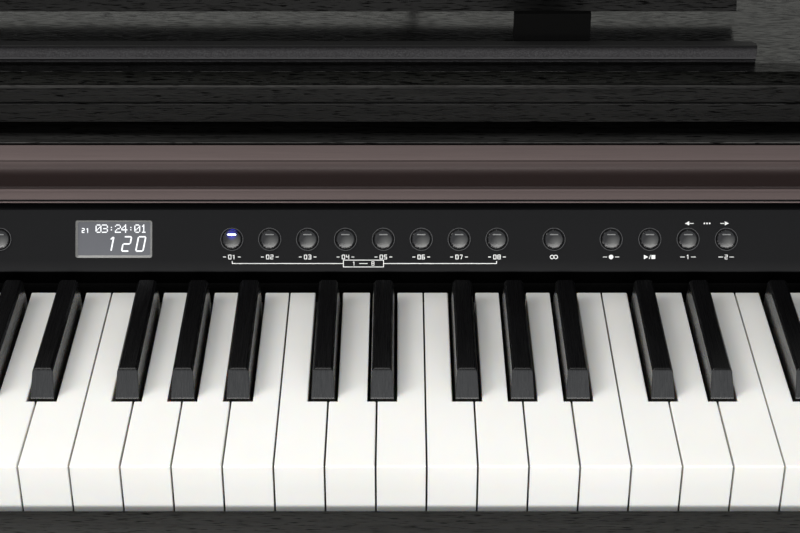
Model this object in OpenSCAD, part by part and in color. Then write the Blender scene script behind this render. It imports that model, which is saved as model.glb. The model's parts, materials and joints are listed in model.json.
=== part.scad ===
// Console digital piano: a cabinet on two leg frames, with an 88-note keyboard, a tilted control
// panel, a key cover that slides out on curved tracks, a folding music desk and three pedals.
// +X is the player's right, +Y the back of the piano, +Z up. The origin is on the floor, under
// the middle of the cabinet.

/* [Cabinet] */
// Overall width over the side panels
case_w = 1380; // [1340:5:1460]
// Overall depth
case_d = 500; // [490:2:520]
// Thickness of the side panels
side_t = 24; // [20:1:28]
// Height of the white keytops above the floor
keytop_z = 735; // [715:1:755]
// Underside of the key bed above the floor
bed_z = 612; // [604:1:616]
// Thickness of the key bed
bed_t = 22; // [18:1:24]
// Thickness of the key slip, the strip in front of the keys
slip_t = 27.6; // [24:0.2:28]
// Thickness of the top board
top_t = 12; // [11:0.5:12]

/* [Keys] */
// Distance from one white key to the next
key_pitch = 23.5; // [23:0.1:23.8]
// Gap between neighbouring white keys
key_gap = 0.9; // [0.6:0.1:1.2]
// Length of a white key that shows
key_len = 150; // [148:1:151]
// Length of the full-width head of a white key
head_len = 51.4; // [49:0.2:52]
// Width of a black key at its base
black_w = 11.5; // [10.5:0.1:11.8]
// Height of a black key above the white ones
black_h = 12; // [11:0.5:12.5]

/* [Control panel] */
// Tilt of the panel from the horizontal
panel_tilt = 58; // [56:1:60]
// Length of the panel's face, front to back
panel_len = 32.2; // [31:0.2:33]
// Radius of a button's cap
cap_r = 5; // [4.5:0.1:5.1]
// Travel of a button
button_travel = 1; // [0.8:0.1:1]
// Width of the display window
window_w = 40.6; // [36:0.2:44]
// Height of the display window
window_h = 19.8; // [18:0.2:21]

/* [Key cover] */
// Radius of the cover's curved upper face
cover_r = 2235.4; // [2235:0.1:2236]
// Thickness of the cover panel
cover_t = 6; // [5:0.5:6]
// Radius of the rollers that keep the cover square
roller_r = 9; // [8.5:0.1:9]

/* [Music desk] */
// Width of the music desk's board
desk_w = 674; // [640:2:700]
// Height of the music desk's board
desk_h = 182; // [160:1:182]
// Lean of the raised desk from the vertical
desk_lean = 17; // [16:0.5:18]
// Width of the ledge that stops the music
ledge_w = 681; // [650:1:720]

/* [Pedals] */
// Distance from one pedal to the next
pedal_pitch = 75; // [70:1:80]
// Width of a pedal
pedal_w = 24; // [22:1:26]

/* [Hidden] */
$fn = 48;
e = 0.01;

// Main places. key_y is the front edge of the white keys.
key_y = -218;
inner_x = case_w / 2 - side_t;
back_y = case_d / 2;
front_y = -case_d / 2;
bed_top = bed_z + bed_t;
top_z = keytop_z + 103.4;
slip_top = keytop_z - 22;

// Keyboard. White key i lies between i and i + 1 pitches right of the middle; key 0 is an F.
first_white = -26;
last_white = 25;
pivot_y = key_y + 220;
pivot_z = keytop_z - 12;
// Shift of the black key that follows F, G, A, B, C, D and E; undef where there is none
black_shift = [-3.3, 0, 3.4, undef, -2.6, 2.6, undef];
notch_half = black_w / 2 + 1.45;

// Control panel: its face starts at panel_y, panel_z and rises towards the back.
panel_y = key_y + 155;
panel_z = keytop_z + 10.2;
panel_t = 2.5;
button_up = 16.7;
button_x = [63.4, 83.4, 103.4, 123.4, 143.4, 163.4, 183.4, 203.4, 233.5, 263.7, 284.1, 304.3, 324.5];
value_x = -59.1;
knob_x = -330;
knob_up = 16;
window_x = 1;
window_up = 16.8;
board_back = 9;

// Key cover: everything on it turns about this line, far below the floor.
cover_y = key_y + 570;
cover_z = keytop_z - 2143;
shaft_r = 4;
shaft_at = cover_r - 11;
shaft_angle = 3.63;
track_top = shaft_at - roller_r - 0.3;

// Music desk: its hinge line, and the stay's hinge line.
desk_t = 10;
// The board's back stands this far in front of the hinge line
desk_gap = 4;
hinge_y = key_y + 277.6;
hinge_z = keytop_z + 113.25;
hinge_x = 237;
stay_y = key_y + 344.4;
stay_z = keytop_z + 107;
stay_len = 97;
stay_angle = 115;
stay_half = 160;
rod_r = 3;
clip_x = 232.5;
clip_w = 40.5;

// Pedals
pedal_y = 80;
pedal_z = 90;

function letter(i) = (i - 7 * floor(i / 7));
function shift_after(i) = (i < first_white || i >= last_white) ? undef : black_shift[letter(i)];
function black_x(i) = (i + 1) * key_pitch + shift_after(i);
function arc(y, z, r, from, to, n) =
    [for (k = [0 : n]) let (a = from + (to - from) * k / n) [y + r * cos(a), z + r * sin(a)]];
// A point of the cover at this radius and angle back from the vertical
function cover_point(r, a) = [cover_y - r * sin(a), cover_z + r * cos(a)];
// A point given from the front edge of the white keytops
function k(y, z) = [key_y + y, keytop_z + z];

// A bar across the piano with this outline, seen from the side
module bar(w, outline, x = 0) {
    translate([x - w / 2, 0, 0])
        rotate([90, 0, 90])
            linear_extrude(w) polygon(outline);
}

// A block from one corner to the other
module block(low, high) {
    translate(low) cube(high - low);
}

module rod_x(r, x0, x1, y, z) {
    translate([x0, y, z]) rotate([0, 90, 0]) cylinder(r = r, h = x1 - x0);
}

module both_sides() {
    children();
    mirror([1, 0, 0]) children();
}

// The panel's own frame: x across, y up the face, z out of the face
module on_panel(x = 0, up = 0, out = 0) {
    translate([0, panel_y, panel_z])
        rotate([panel_tilt, 0, 0])
            translate([x, up, out]) children();
}

// ---- Cabinet ----

module side_panel() {
    outline = [
        [back_y, 60], [back_y, top_z - top_t], [key_y + 206, top_z - top_t],
        [key_y + 206, keytop_z + 70], [key_y + 196, keytop_z + 58], [key_y + 168, keytop_z + 38],
        [key_y + 130, keytop_z + 30], [front_y + 12, keytop_z + 30], [front_y, keytop_z + 18],
        [front_y, bed_z], [20, bed_z], [44, bed_z - 12], [56, bed_z - 40], [56, 60]
    ];
    difference() {
        bar(side_t, outline, inner_x + side_t / 2);
        // Rebate for the upper back board and groove for the lower one
        block([inner_x - 1, back_y - 14, bed_top], [inner_x + 12, back_y + 1, top_z]);
        block([inner_x - 1, 190, 190], [inner_x + 8, 202, bed_z]);
    }
}

module side_panels() {
    color("#1c1b1b") both_sides() side_panel();
}

// A foot that lies along the floor and a tapered square leg
module leg_frame() {
    foot_w = 46;
    x = case_w / 2 - foot_w / 2;
    bar(foot_w, [[front_y + 16, 12], [back_y, 12], [back_y, 60], [front_y + 34, 60],
                 [front_y + 16, 44]], x);
    intersection() {
        translate([x, 0, 60]) rotate([90, 0, 0]) linear_extrude(case_d, center = true)
            polygon([[-17, 0], [17, 0], [23, 470], [23, bed_z - 60], [-23, bed_z - 60], [-23, 470]]);
        bar(foot_w, [[-209, 60], [-175, 60], [-169, 530], [-169, bed_z], [-215, bed_z], [-215, 530]], x);
    }
}

module leg_frames() {
    color("#1c1b1b") both_sides() leg_frame();
}

module back_boards() {
    color("#242222") {
        block([-inner_x - 12, back_y - 14, bed_top], [inner_x + 12, back_y - 2, 740]);
        block([-inner_x - 12, back_y - 14, 770], [inner_x + 12, back_y - 2, top_z - top_t]);
        block([-inner_x - 12, back_y - 14, 740], [60, back_y - 2, 770]);
        block([240, back_y - 14, 740], [inner_x + 12, back_y - 2, 770]);
        block([-inner_x - 8, 190, 190], [inner_x + 8, 202, bed_z]);
    }
}

// The rail between the side panels, with the open-bottomed box that the pedals come out of
module pedal_rail() {
    color("#1c1b1b") {
        block([-inner_x, 120, 62], [inner_x, 145, 172]);
        difference() {
            block([-130, 0, 62], [130, 120, 126]);
            block([-118, 12, 50], [118, 121, 114]);
            for (i = [-1 : 1])
                block([i * pedal_pitch - pedal_w / 2 - 2, -1, 72],
                      [i * pedal_pitch + pedal_w / 2 + 2, 13, 98]);
        }
        // Posts that hold the pedals' pins, and the boss of the adjuster
        for (x = [-118, -pedal_pitch / 2, pedal_pitch / 2, 118])
            block([x - (x > 0 ? (x > 60 ? 4 : 3) : (x < -60 ? 0 : 3)), 68, 70],
                  [x + (x > 0 ? (x > 60 ? 0 : 3) : (x < -60 ? 4 : 3)), 96, 114]);
        difference() {
            translate([0, 106, 62]) cylinder(r = 13, h = 52);
            translate([0, 106, 61]) cylinder(r = 5.3, h = 42);
        }
        rod_x(3, -118, 118, pedal_y, pedal_z);
    }
}

module floor_glides() {
    color("#3a3a3a") both_sides()
        for (y = [-210, 224])
            translate([case_w / 2 - 23, y, 0]) {
                cylinder(r1 = 13, r2 = 15, h = 3);
                translate([0, 0, 3]) cylinder(r = 15, h = 9);
            }
}

module wood_screw(length) {
    cylinder(r1 = 2.6, r2 = 4.2, h = 2);
    translate([0, 0, 2 - e]) cylinder(r = 1.7, h = length + e);
}

module fasteners() {
    color("#8d8d90") {
        both_sides()
            for (z = [660, 755, 806])
                translate([inner_x + 6, back_y, z]) rotate([90, 0, 0]) wood_screw(22);
        for (x = [-460, -150, 150, 460])
            translate([x, front_y + 14, bed_z - 2]) wood_screw(36);
    }
}

speaker_x = 470;
speaker_y = 94;
speaker_r = 58;

module key_bed() {
    color("#2a2827") difference() {
        block([-inner_x, front_y, bed_z], [inner_x, back_y - 14, bed_top]);
        both_sides() translate([speaker_x, speaker_y, bed_z - 1]) cylinder(r = speaker_r, h = bed_t + 2);
    }
}

module cheek_blocks() {
    inner = last_white * key_pitch + key_pitch + 1;
    color("#151414") both_sides()
        bar(inner_x - inner,
            [[key_y - 4.4, bed_top], [key_y + 150, bed_top], k(150, 0), k(8, 0), k(-1, -16),
             k(-4.4, -22)],
            (inner_x + inner) / 2);
}

module key_slip() {
    front = front_y;
    color("#262525")
        bar(2 * inner_x, [[front, bed_top], [front + slip_t, bed_top], [front + slip_t, slip_top],
                          [front + 4, slip_top], [front, slip_top - 4]]);
}

module top_board() {
    color("#3b3c3a")
        bar(case_w, [k(203, 95.4), k(203, 103.4), k(468, 103.4), k(468, 103.4 - top_t),
                     k(222, 103.4 - top_t), k(222, 95.4)]);
}

// The moulding under the front of the top board: a face with a fine groove, and a cove below it
module top_fascia() {
    color("#1d1c1c")
        bar(2 * inner_x, concat(
            [k(222, 95.4), k(200.6, 95.4), k(200, 94.8), k(200, 87), k(200.8, 86.5), k(200, 86),
             k(200, 75.3), k(208, 75.3)],
            arc(key_y + 200, keytop_z + 71.2, 8, 0, -90, 8),
            [k(200, 62.4), k(222, 66.2)]));
}

module cover_tracks() {
    n = 16;
    from = 9.28;
    to = 3.2;
    outline = concat(
        [for (i = [0 : n]) cover_point(track_top, from + (to - from) * i / n)],
        [for (i = [n : -1 : 0]) cover_point(track_top - 4, from + (to - from) * i / n)]);
    lip = concat(
        [for (i = [0 : n]) cover_point(track_top + 6, from + (to - from) * i / n)],
        [for (i = [n : -1 : 0]) cover_point(track_top - 4, from + (to - from) * i / n)]);
    color("#454545") both_sides() {
        bar(24, outline, inner_x - 16);
        bar(4, lip, inner_x - 2);
    }
}

// ---- Control panel ----

module control_panel() {
    top = [panel_y + panel_len * cos(panel_tilt), panel_z + panel_len * sin(panel_tilt)];
    // Inner corners of a sheet that is panel_t thick all along
    low_drop = panel_t * (cos(panel_tilt) - (1 - sin(panel_tilt)) * tan(panel_tilt));
    top_shift = panel_t * (1 - cos(panel_tilt)) / sin(panel_tilt);
    color("#232324") {
        difference() {
            bar(2 * inner_x, [
                k(155, 2.7), [panel_y, panel_z], top, [key_y + 206, top[1]],
                [key_y + 206, top[1] - panel_t], [top[0] + top_shift, top[1] - panel_t],
                [panel_y + panel_t, panel_z - low_drop], k(155 + panel_t, 2.7)
            ]);
            for (x = concat(button_x, [value_x]))
                on_panel(x, button_up, -6) cylinder(r = cap_r + 0.35, h = 12);
            on_panel(knob_x, knob_up, -6) cylinder(r = 3.3, h = 12);
            on_panel(window_x - window_w / 2, window_up - window_h / 2, -6)
                cube([window_w, window_h, 12]);
        }
        // Raised ring around each button
        for (x = concat(button_x, [value_x]))
            on_panel(x, button_up, -e) difference() {
                cylinder(r = cap_r + 1, h = 0.5 + e);
                translate([0, 0, -1]) cylinder(r = cap_r + 0.35, h = 3);
            }
        // Posts that carry the panel's circuit board
        for (x = [-115, 50, 222, 340])
            on_panel(x, 12, -board_back) cylinder(r = 2.5, h = board_back - panel_t + 0.2);
    }
}

module display_window() {
    color("#9aa7b0") {
        on_panel(window_x - window_w / 2, window_up - window_h / 2, -panel_t)
            cube([window_w, window_h, panel_t - 0.3]);
        on_panel(window_x - window_w / 2 - 1.5, window_up - window_h / 2 - 0.8, -panel_t - 0.8)
            cube([window_w + 3, window_h + 1.6, 0.8]);
    }
}

module button(x) {
    dome_r = 21.1;
    color("#2c2c2f") on_panel(x, button_up) {
        translate([0, 0, -3.2]) cylinder(r = cap_r, h = 4.1);
        intersection() {
            translate([0, 0, 1.5 - dome_r]) sphere(r = dome_r);
            translate([0, 0, 0.9 - e]) cylinder(r = cap_r, h = 2);
        }
        translate([0, 0, -4.2]) cylinder(r = cap_r + 0.8, h = 1);
        translate([0, 0, -7.8]) cylinder(r = 2.5, h = 3.7);
    }
}

module power_volume_knob() {
    color("#2c2c2f") on_panel(knob_x, knob_up) {
        difference() {
            translate([0, 0, 0.4]) cylinder(r = 7.5, h = 7.6);
            translate([-0.5, 2, 7.2]) cube([1, 7, 2]);
        }
        translate([0, 0, -7]) cylinder(r = 3, h = 7.5);
    }
}

// ---- Works ----

// One moulding under all the keys: front stop rail, contact rail and the bead the keys pivot on
module key_chassis() {
    half = -first_white * key_pitch;
    bead_r = 2;
    base = bed_top;
    color("#4a4a4c") {
        bar(2 * half, [
            [key_y + 2, base], [key_y + 240, base], [key_y + 240, base + 3],
            [key_y + 228, base + 3], k(228, -24), [pivot_y + 1.2, keytop_z - 24],
            [pivot_y + 1.2, pivot_z], [pivot_y - 1.2, pivot_z], [pivot_y - 1.2, keytop_z - 24],
            k(212, -24), [key_y + 212, base + 3], [key_y + 116, base + 3], k(116, -40), k(104, -40),
            [key_y + 104, base + 3], [key_y + 20, base + 3], k(20, -33), k(8, -33),
            [key_y + 8, base + 3], [key_y + 2, base + 3]
        ]);
        rod_x(bead_r, -half, half, pivot_y, pivot_z);
    }
}

module circuit_boards() {
    color("#2d5a3a") {
        // Key contact board on the chassis
        block([-600, key_y + 84, keytop_z - 40], [600, key_y + 120, keytop_z - 38.4]);
        // Main board on its spacers, with its larger parts
        block([-170, 50, bed_top + 10], [170, 190, bed_top + 11.6]);
        for (x = [-160, 160], y = [60, 180])
            translate([x, y, bed_top]) cylinder(r = 4, h = 10);
        block([-40, 90, bed_top + 11.6], [0, 130, bed_top + 15]);
        block([60, 100, bed_top + 11.6], [90, 130, bed_top + 14]);
        for (i = [0 : 3])
            translate([-140 + 24 * i, 150, bed_top + 11.6]) cylinder(r = 8, h = 22);
        // Panel board, with the display behind the window
        on_panel(-120, 5, -board_back - 1.6) cube([466, 23, 1.6]);
        on_panel(window_x - window_w / 2, window_up - window_h / 2, -board_back)
            cube([window_w, window_h, board_back - panel_t - 0.8]);
    }
}

module speaker() {
    // Basket, cone and magnet, standing on the key bed and facing down
    rotate_extrude() polygon([
        [speaker_r - 6, 0], [speaker_r + 9, 0], [speaker_r + 9, 3], [speaker_r - 3, 3],
        [30, 32], [32, 34], [32, 50], [0, 50], [0, 26], [12, 26], [14, 22]
    ]);
}

module speakers() {
    color("#2b2b2b") both_sides() translate([speaker_x, speaker_y, bed_top]) speaker();
}

module speaker_grilles() {
    slots = 9;
    color("#111111") both_sides() translate([speaker_x, speaker_y, bed_z - 3]) difference() {
        union() {
            cylinder(r = speaker_r + 6, h = 3);
            translate([0, 0, 3 - e]) difference() {
                cylinder(r = speaker_r - 0.2, h = 5);
                translate([0, 0, -1]) cylinder(r = speaker_r - 2.2, h = 8);
            }
        }
        for (i = [0 : slots - 1]) {
            y = (i - (slots - 1) / 2) * 11;
            half = sqrt(pow(speaker_r - 5, 2) - y * y);
            block([-half, y - 2.5, -1], [half, y + 2.5, 4]);
        }
    }
}

jack_r = 3.2;

// Headphone box under the front of the key bed, and the plate with the sockets at the back
module socket_panels() {
    color("#1b1b1b") {
        difference() {
            block([-600, -244, bed_z - 30], [-520, -190, bed_z]);
            for (x = [-575, -545])
                translate([x, -245, bed_z - 15]) rotate([-90, 0, 0]) cylinder(r = jack_r, h = 31);
        }
        difference() {
            block([60, back_y - 24, 740], [240, back_y - 14, 770]);
            for (x = [85, 110])
                translate([x, back_y - 34, 755]) rotate([-90, 0, 0]) cylinder(r = jack_r, h = 24);
            block([136, back_y - 30, 749], [149, back_y, 761]);
            translate([205, back_y - 34, 755]) rotate([-90, 0, 0]) cylinder(r = 4, h = 24);
        }
    }
}

// ---- Music rest ----

module music_ledge() {
    half = ledge_w / 2;
    front = key_y + 214;
    back = key_y + 220.5;
    cut = 2.7;
    color("#4a4a4d") intersection() {
        bar(ledge_w, [k(214.1, 105.8), k(214.1, 112.3), k(214.7, 112.9), k(220.5, 112.9),
                      k(220.5, 103.4), k(215.4, 103.4)]);
        // Its back corners are cut off
        translate([0, 0, top_z - 1]) linear_extrude(12)
            polygon([[-half, front], [half, front], [half, back - cut - 1], [half - cut, back + e],
                     [-half + cut, back + e], [-half, back - cut - 1]]);
    }
}

// Knuckles on the top board that hold the desk's pins, the stay's feet and the page clips' pins
module knuckle(w, y, z, r) {
    difference() {
        union() {
            rod_x(r, -w / 2, w / 2, y, z);
            block([-w / 2, y - r, top_z], [w / 2, y + r, z]);
        }
        rod_x(1.55, -w, w, y, z);
    }
}

module desk_brackets() {
    color("#161616") both_sides() {
        for (dx = [-14, 14])
            translate([hinge_x + dx, 0, 0]) knuckle(8, hinge_y, hinge_z, 3.4);
        for (dx = [-7, 7])
            translate([stay_half + dx, 0, 0]) difference() {
                block([-2.5, stay_y - 5, top_z], [2.5, stay_y + 5, stay_z + 4.4]);
                rod_x(1.55, -5, 5, stay_y, stay_z);
            }
        for (dx = [-17, 17])
            translate([clip_x + dx, key_y + 225, keytop_z + 106.4]) difference() {
                block([-1.5, -2.2, -3], [1.5, 2.2, 2.2]);
                rod_x(1.05, -4, 4, 0, 0);
            }
    }
}

// The board, in its own frame: y up the board from the hinge line, z towards the player
module on_desk() {
    translate([0, hinge_y, hinge_z]) rotate([90 - desk_lean, 0, 0]) children();
}

module music_desk() {
    foot = -6;
    color("#211f1e") {
        on_desk()
            block([-desk_w / 2, foot, desk_gap], [desk_w / 2, foot + desk_h, desk_gap + desk_t]);
        // Hinge leaves with their pins, and the pad that the stay holds
        both_sides() {
            on_desk() translate([hinge_x - 9, -3, -3]) cube([18, 6, 3 + desk_gap + e]);
            rod_x(1.5, hinge_x - 18, hinge_x + 18, hinge_y, hinge_z);
        }
        on_desk() block([-stay_half + 12, 77, desk_gap - 1.5], [stay_half - 12, 95, desk_gap + e]);
    }
}

// A bent rod: two arms and a cross bar, on two pins
module desk_stay() {
    color("#8a8a8c") {
        translate([0, stay_y, stay_z]) rotate([stay_angle, 0, 0]) {
            for (s = [-1, 1]) {
                translate([s * stay_half, 0, 0]) rotate([-90, 0, 0]) cylinder(r = rod_r, h = stay_len);
                translate([s * stay_half, stay_len, 0]) sphere(r = rod_r);
            }
            rod_x(rod_r, -stay_half, stay_half, stay_len, 0);
        }
        for (s = [-1, 1]) {
            rod_x(rod_r, s * stay_half - 3.6, s * stay_half + 3.6, stay_y, stay_z);
            rod_x(1.5, s * stay_half - 9.5, s * stay_half + 9.5, stay_y, stay_z);
        }
    }
}

// Upright tabs behind the ledge that hold an open book's pages
module page_clips() {
    y = key_y + 225;
    z = keytop_z + 106.4;
    color("#0f0f0f") both_sides() {
        block([clip_x - clip_w / 2, key_y + 221, keytop_z + 110], [clip_x + clip_w / 2, key_y + 225, keytop_z + 128.2]);
        block([clip_x - 14.5, key_y + 222.6, z - 1], [clip_x + 14.5, key_y + 225.6, keytop_z + 110 + e]);
        rod_x(1, clip_x - 18.5, clip_x + 18.5, y, z);
    }
}

// ---- Key cover ----

// The rail that shows: a thin lip, a ledge, a riser, a rounded nose and a top that runs back
module cover_rail() {
    nose = [183.6, 188.6];
    nose_a = asin((570 - nose[1]) / cover_r);
    back_a = 9.335;
    under = [for (i = [0 : 3]) cover_point(cover_r - cover_t, 9.335 + i * 0.07)];
    color("#6d6460")
        bar(2 * inner_x - 5, concat(
            [k(172.5, 41.5), k(172.5, 42.2), k(173.1, 42.4), k(173.1, 42.9), k(172.7, 43),
             k(172.9, 43.4), k(181.6, 43.6)],
            arc(key_y + 181.6, keytop_z + 45.6, 2, -90, 0, 4),
            [k(183.6, 53.6)],
            arc(key_y + 188.8, keytop_z + 54.4, 5.2, 180, 99.8, 7),
            [for (i = [0 : 3]) cover_point(cover_r, 9.78 - i * 0.148)],
            under,
            [k(197, 55.4), k(197, 46)]));
}

module cover_panel() {
    n = 14;
    from = 9.335;
    to = 3.95;
    wide = 2 * inner_x - 5;
    color("#1d1c1c") {
        bar(wide, concat(
            [for (i = [0 : n]) cover_point(cover_r, from + (to - from) * i / n)],
            [for (i = [n : -1 : 0]) cover_point(cover_r - cover_t, from + (to - from) * i / n)]));
        // Ears that carry the shaft
        at = cover_point(shaft_at, shaft_angle);
        for (x = [-560, -190, 190, 560])
            difference() {
                bar(8, [cover_point(cover_r - cover_t, 4.3), cover_point(cover_r - cover_t, 3.95),
                        cover_point(cover_r - cover_t / 2, 3.95), [at[0] + 5, at[1] + 6],
                        [at[0] + 7, at[1]], [at[0] + 4, at[1] - 6], [at[0] - 4, at[1] - 6]], x);
                rod_x(shaft_r + 0.06, x - 6, x + 6, at[0], at[1]);
            }
    }
}

module cover_shaft() {
    at = cover_point(shaft_at, shaft_angle);
    color("#8a8a8c") {
        rod_x(shaft_r, -650, 650, at[0], at[1]);
        both_sides() rod_x(roller_r, 638, 650, at[0], at[1]);
        both_sides() rod_x(shaft_r + 2, 566, 569, at[0], at[1]);
    }
}

// ---- Keys ----

module pivot_slot(x0, x1) {
    block([x0 - 1, pivot_y - 2.4, keytop_z - 30], [x1 + 1, pivot_y + 2.4, pivot_z + 2.4]);
}

module white_key(i) {
    x0 = i * key_pitch + key_gap / 2;
    x1 = (i + 1) * key_pitch - key_gap / 2;
    left = shift_after(i - 1);
    right = shift_after(i);
    t0 = left == undef ? x0 : black_x(i - 1) + notch_half;
    t1 = right == undef ? x1 : black_x(i) - notch_half;
    color("#f2f1ec") difference() {
        union() {
            translate([0, 0, keytop_z - 20]) linear_extrude(20) polygon([
                [x0, key_y], [x1, key_y], [x1, key_y + head_len], [t1, key_y + head_len],
                [t1, key_y + key_len], [t0, key_y + key_len], [t0, key_y + head_len],
                [x0, key_y + head_len]]);
            block([x0, key_y, keytop_z - 27], [x1, key_y + 3, keytop_z - 19]);
            block([t0, key_y + key_len - 1, keytop_z - 20], [t1, key_y + 232, keytop_z - 8]);
        }
        pivot_slot(t0, t1);
    }
}

module black_key(i) {
    x = black_x(i);
    half = black_w / 2;
    color("#0c0c0d") difference() {
        union() {
            intersection() {
                bar(black_w, [k(53.5, -14), k(53.5, 0), k(61.4, black_h - 0.6), k(62.6, black_h),
                              k(143, black_h), k(143, -14)], x);
                translate([x, 0, keytop_z]) rotate([90, 0, 0]) linear_extrude(2 * case_d, center = true)
                    polygon([[-half, -14], [half, -14], [half, 0], [half - 0.75, black_h - 1.4],
                             [half - 1.9, black_h], [-half + 1.9, black_h],
                             [-half + 0.75, black_h - 1.4], [-half, 0]]);
            }
            block([x - 4.5, key_y + 60, keytop_z - 20], [x + 4.5, key_y + 232, keytop_z - 8]);
        }
        pivot_slot(x - 4.5, x + 4.5);
    }
}

// The octave whose keys are nodes of their own
octave = 4;

module other_white_keys() {
    for (i = [first_white : last_white])
        if (i < octave || i > octave + 6) white_key(i);
}

module other_black_keys() {
    for (i = [first_white : last_white - 1])
        if (shift_after(i) != undef && (i < octave || i > octave + 6)) black_key(i);
}

// ---- Pedals ----

module pedal(i) {
    x = i * pedal_pitch;
    half = pedal_w / 2;
    color("#b08d4a") difference() {
        union() {
            bar(pedal_w, [[-60, 84], [-60, 91], [-20, 92], [0, 92], [86, 94], [86, 86], [0, 84]], x);
            translate([x, -60, 84]) cylinder(r = half, h = 7);
        }
        rod_x(3.05, x - 20, x + 20, pedal_y, pedal_z);
    }
}

module pedal_adjuster() {
    color("#2a2a2a") translate([0, 106, 0]) {
        cylinder(r = 18, h = 8);
        translate([0, 0, 8 - e]) cylinder(r = 5, h = 80);
    }
}

side_panels();
leg_frames();
back_boards();
pedal_rail();
floor_glides();
fasteners();
key_bed();
cheek_blocks();
key_slip();
top_board();
top_fascia();
cover_tracks();
control_panel();
display_window();
key_chassis();
circuit_boards();
speakers();
speaker_grilles();
socket_panels();
music_ledge();
desk_brackets();
cover_rail();
cover_panel();
cover_shaft();
music_desk();
desk_stay();
page_clips();
power_volume_knob();
pedal(-1);  // left_pedal
pedal(0);  // middle_pedal
pedal(1);  // right_pedal
pedal_adjuster();
white_key(octave);  // key_c5
black_key(octave);  // key_c_sharp5
white_key(octave + 1);  // key_d5
black_key(octave + 1);  // key_d_sharp5
white_key(octave + 2);  // key_e5
white_key(octave + 3);  // key_f5
black_key(octave + 3);  // key_f_sharp5
white_key(octave + 4);  // key_g5
black_key(octave + 4);  // key_g_sharp5
white_key(octave + 5);  // key_a5
black_key(octave + 5);  // key_a_sharp5
white_key(octave + 6);  // key_b5
other_white_keys();
other_black_keys();
button(button_x[0]);  // voice_button_1
button(button_x[1]);  // voice_button_2
button(button_x[2]);  // voice_button_3
button(button_x[3]);  // voice_button_4
button(button_x[4]);  // voice_button_5
button(button_x[5]);  // voice_button_6
button(button_x[6]);  // voice_button_7
button(button_x[7]);  // voice_button_8
button(button_x[8]);  // duo_button
button(button_x[9]);  // record_button
button(button_x[10]);  // play_button
button(button_x[11]);  // track_1_button
button(button_x[12]);  // track_2_button
button(value_x);  // value_button
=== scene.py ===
"""Looks of the console digital piano: finishes for the CAD parts, and the display, lamps, printed marks
and felt that the CAD leaves out. Metres, in the part's own frame: X right, Y back, Z up."""

import json
import math

import bmesh
import bpy
from mathutils import Matrix, Vector


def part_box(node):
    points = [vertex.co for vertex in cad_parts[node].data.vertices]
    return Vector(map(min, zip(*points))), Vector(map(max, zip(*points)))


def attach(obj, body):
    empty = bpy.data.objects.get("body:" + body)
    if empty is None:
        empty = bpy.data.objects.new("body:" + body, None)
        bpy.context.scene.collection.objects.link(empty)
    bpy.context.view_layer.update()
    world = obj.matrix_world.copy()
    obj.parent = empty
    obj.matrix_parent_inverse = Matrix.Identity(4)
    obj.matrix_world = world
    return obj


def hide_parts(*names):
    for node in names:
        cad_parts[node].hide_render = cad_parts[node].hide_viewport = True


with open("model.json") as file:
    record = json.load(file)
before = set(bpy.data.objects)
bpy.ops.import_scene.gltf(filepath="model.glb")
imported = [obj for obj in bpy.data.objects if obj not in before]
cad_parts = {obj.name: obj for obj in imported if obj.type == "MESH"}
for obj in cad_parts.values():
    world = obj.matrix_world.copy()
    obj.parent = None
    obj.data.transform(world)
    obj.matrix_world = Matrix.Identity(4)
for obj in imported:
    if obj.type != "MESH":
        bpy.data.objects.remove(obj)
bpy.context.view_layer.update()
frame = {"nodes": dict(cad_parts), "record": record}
nodes = frame["nodes"]
MM = 0.001

# ---- Camera, light and floor ----

CAMERA_PLACE = (0.1522, -0.8878, 1.2500)
CAMERA_PITCH = math.radians(58.67)
CAMERA_LENS = 82.39
CAMERA_SENSOR = 36
FLOOR_HALF = 14.0
WORLD_STRENGTH = 0.26


def make_camera():
    data = bpy.data.cameras.new("camera")
    data.lens = CAMERA_LENS
    data.sensor_width = CAMERA_SENSOR
    data.clip_start = 0.01
    camera = bpy.data.objects.new("camera", data)
    camera.location = CAMERA_PLACE
    camera.rotation_euler = (CAMERA_PITCH, 0, 0)
    bpy.context.scene.collection.objects.link(camera)
    bpy.context.scene.camera = camera


def make_softbox(name, place, target, width, height, power, colour):
    data = bpy.data.lights.new(name, "AREA")
    data.shape = "RECTANGLE"
    data.size = width
    data.size_y = height
    data.energy = power
    data.color = colour
    light = bpy.data.objects.new(name, data)
    light.location = place
    light.rotation_euler = (Vector(target) - Vector(place)).to_track_quat("-Z", "Y").to_euler()
    bpy.context.scene.collection.objects.link(light)


def make_studio():
    """Five softboxes: four aimed at the keys, and one behind that the polished top mirrors."""
    keys = (0.1, -0.14, 0.74)
    desk = (0.1, 0.1, 0.8)
    make_softbox("left_softbox", (-1.9, -0.6, 2.7), keys, 1.3, 1.3, 47, (1.0, 0.985, 0.96))
    make_softbox("front_softbox", (0.3, -2.0, 2.45), keys, 3.4, 2.0, 14, (0.88, 0.93, 1.0))
    make_softbox("low_softbox", (0.2, -3.0, 1.3), keys, 3.0, 0.8, 74, (1.0, 0.99, 0.97))
    make_softbox("top_softbox", (-0.4, 1.1, 2.75), keys, 1.8, 1.4, 33, (1.0, 0.99, 0.97))
    make_softbox("back_softbox", (0.5, 2.4, 2.1), desk, 3.0, 1.2, 4.5, (1.0, 1.0, 0.90))
    world = bpy.data.worlds.new("studio")
    world.use_nodes = True
    background = world.node_tree.nodes["Background"]
    background.inputs["Color"].default_value = (0.93, 0.95, 0.94, 1)
    background.inputs["Strength"].default_value = WORLD_STRENGTH
    bpy.context.scene.world = world
    bpy.context.scene.view_settings.view_transform = "Standard"


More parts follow.
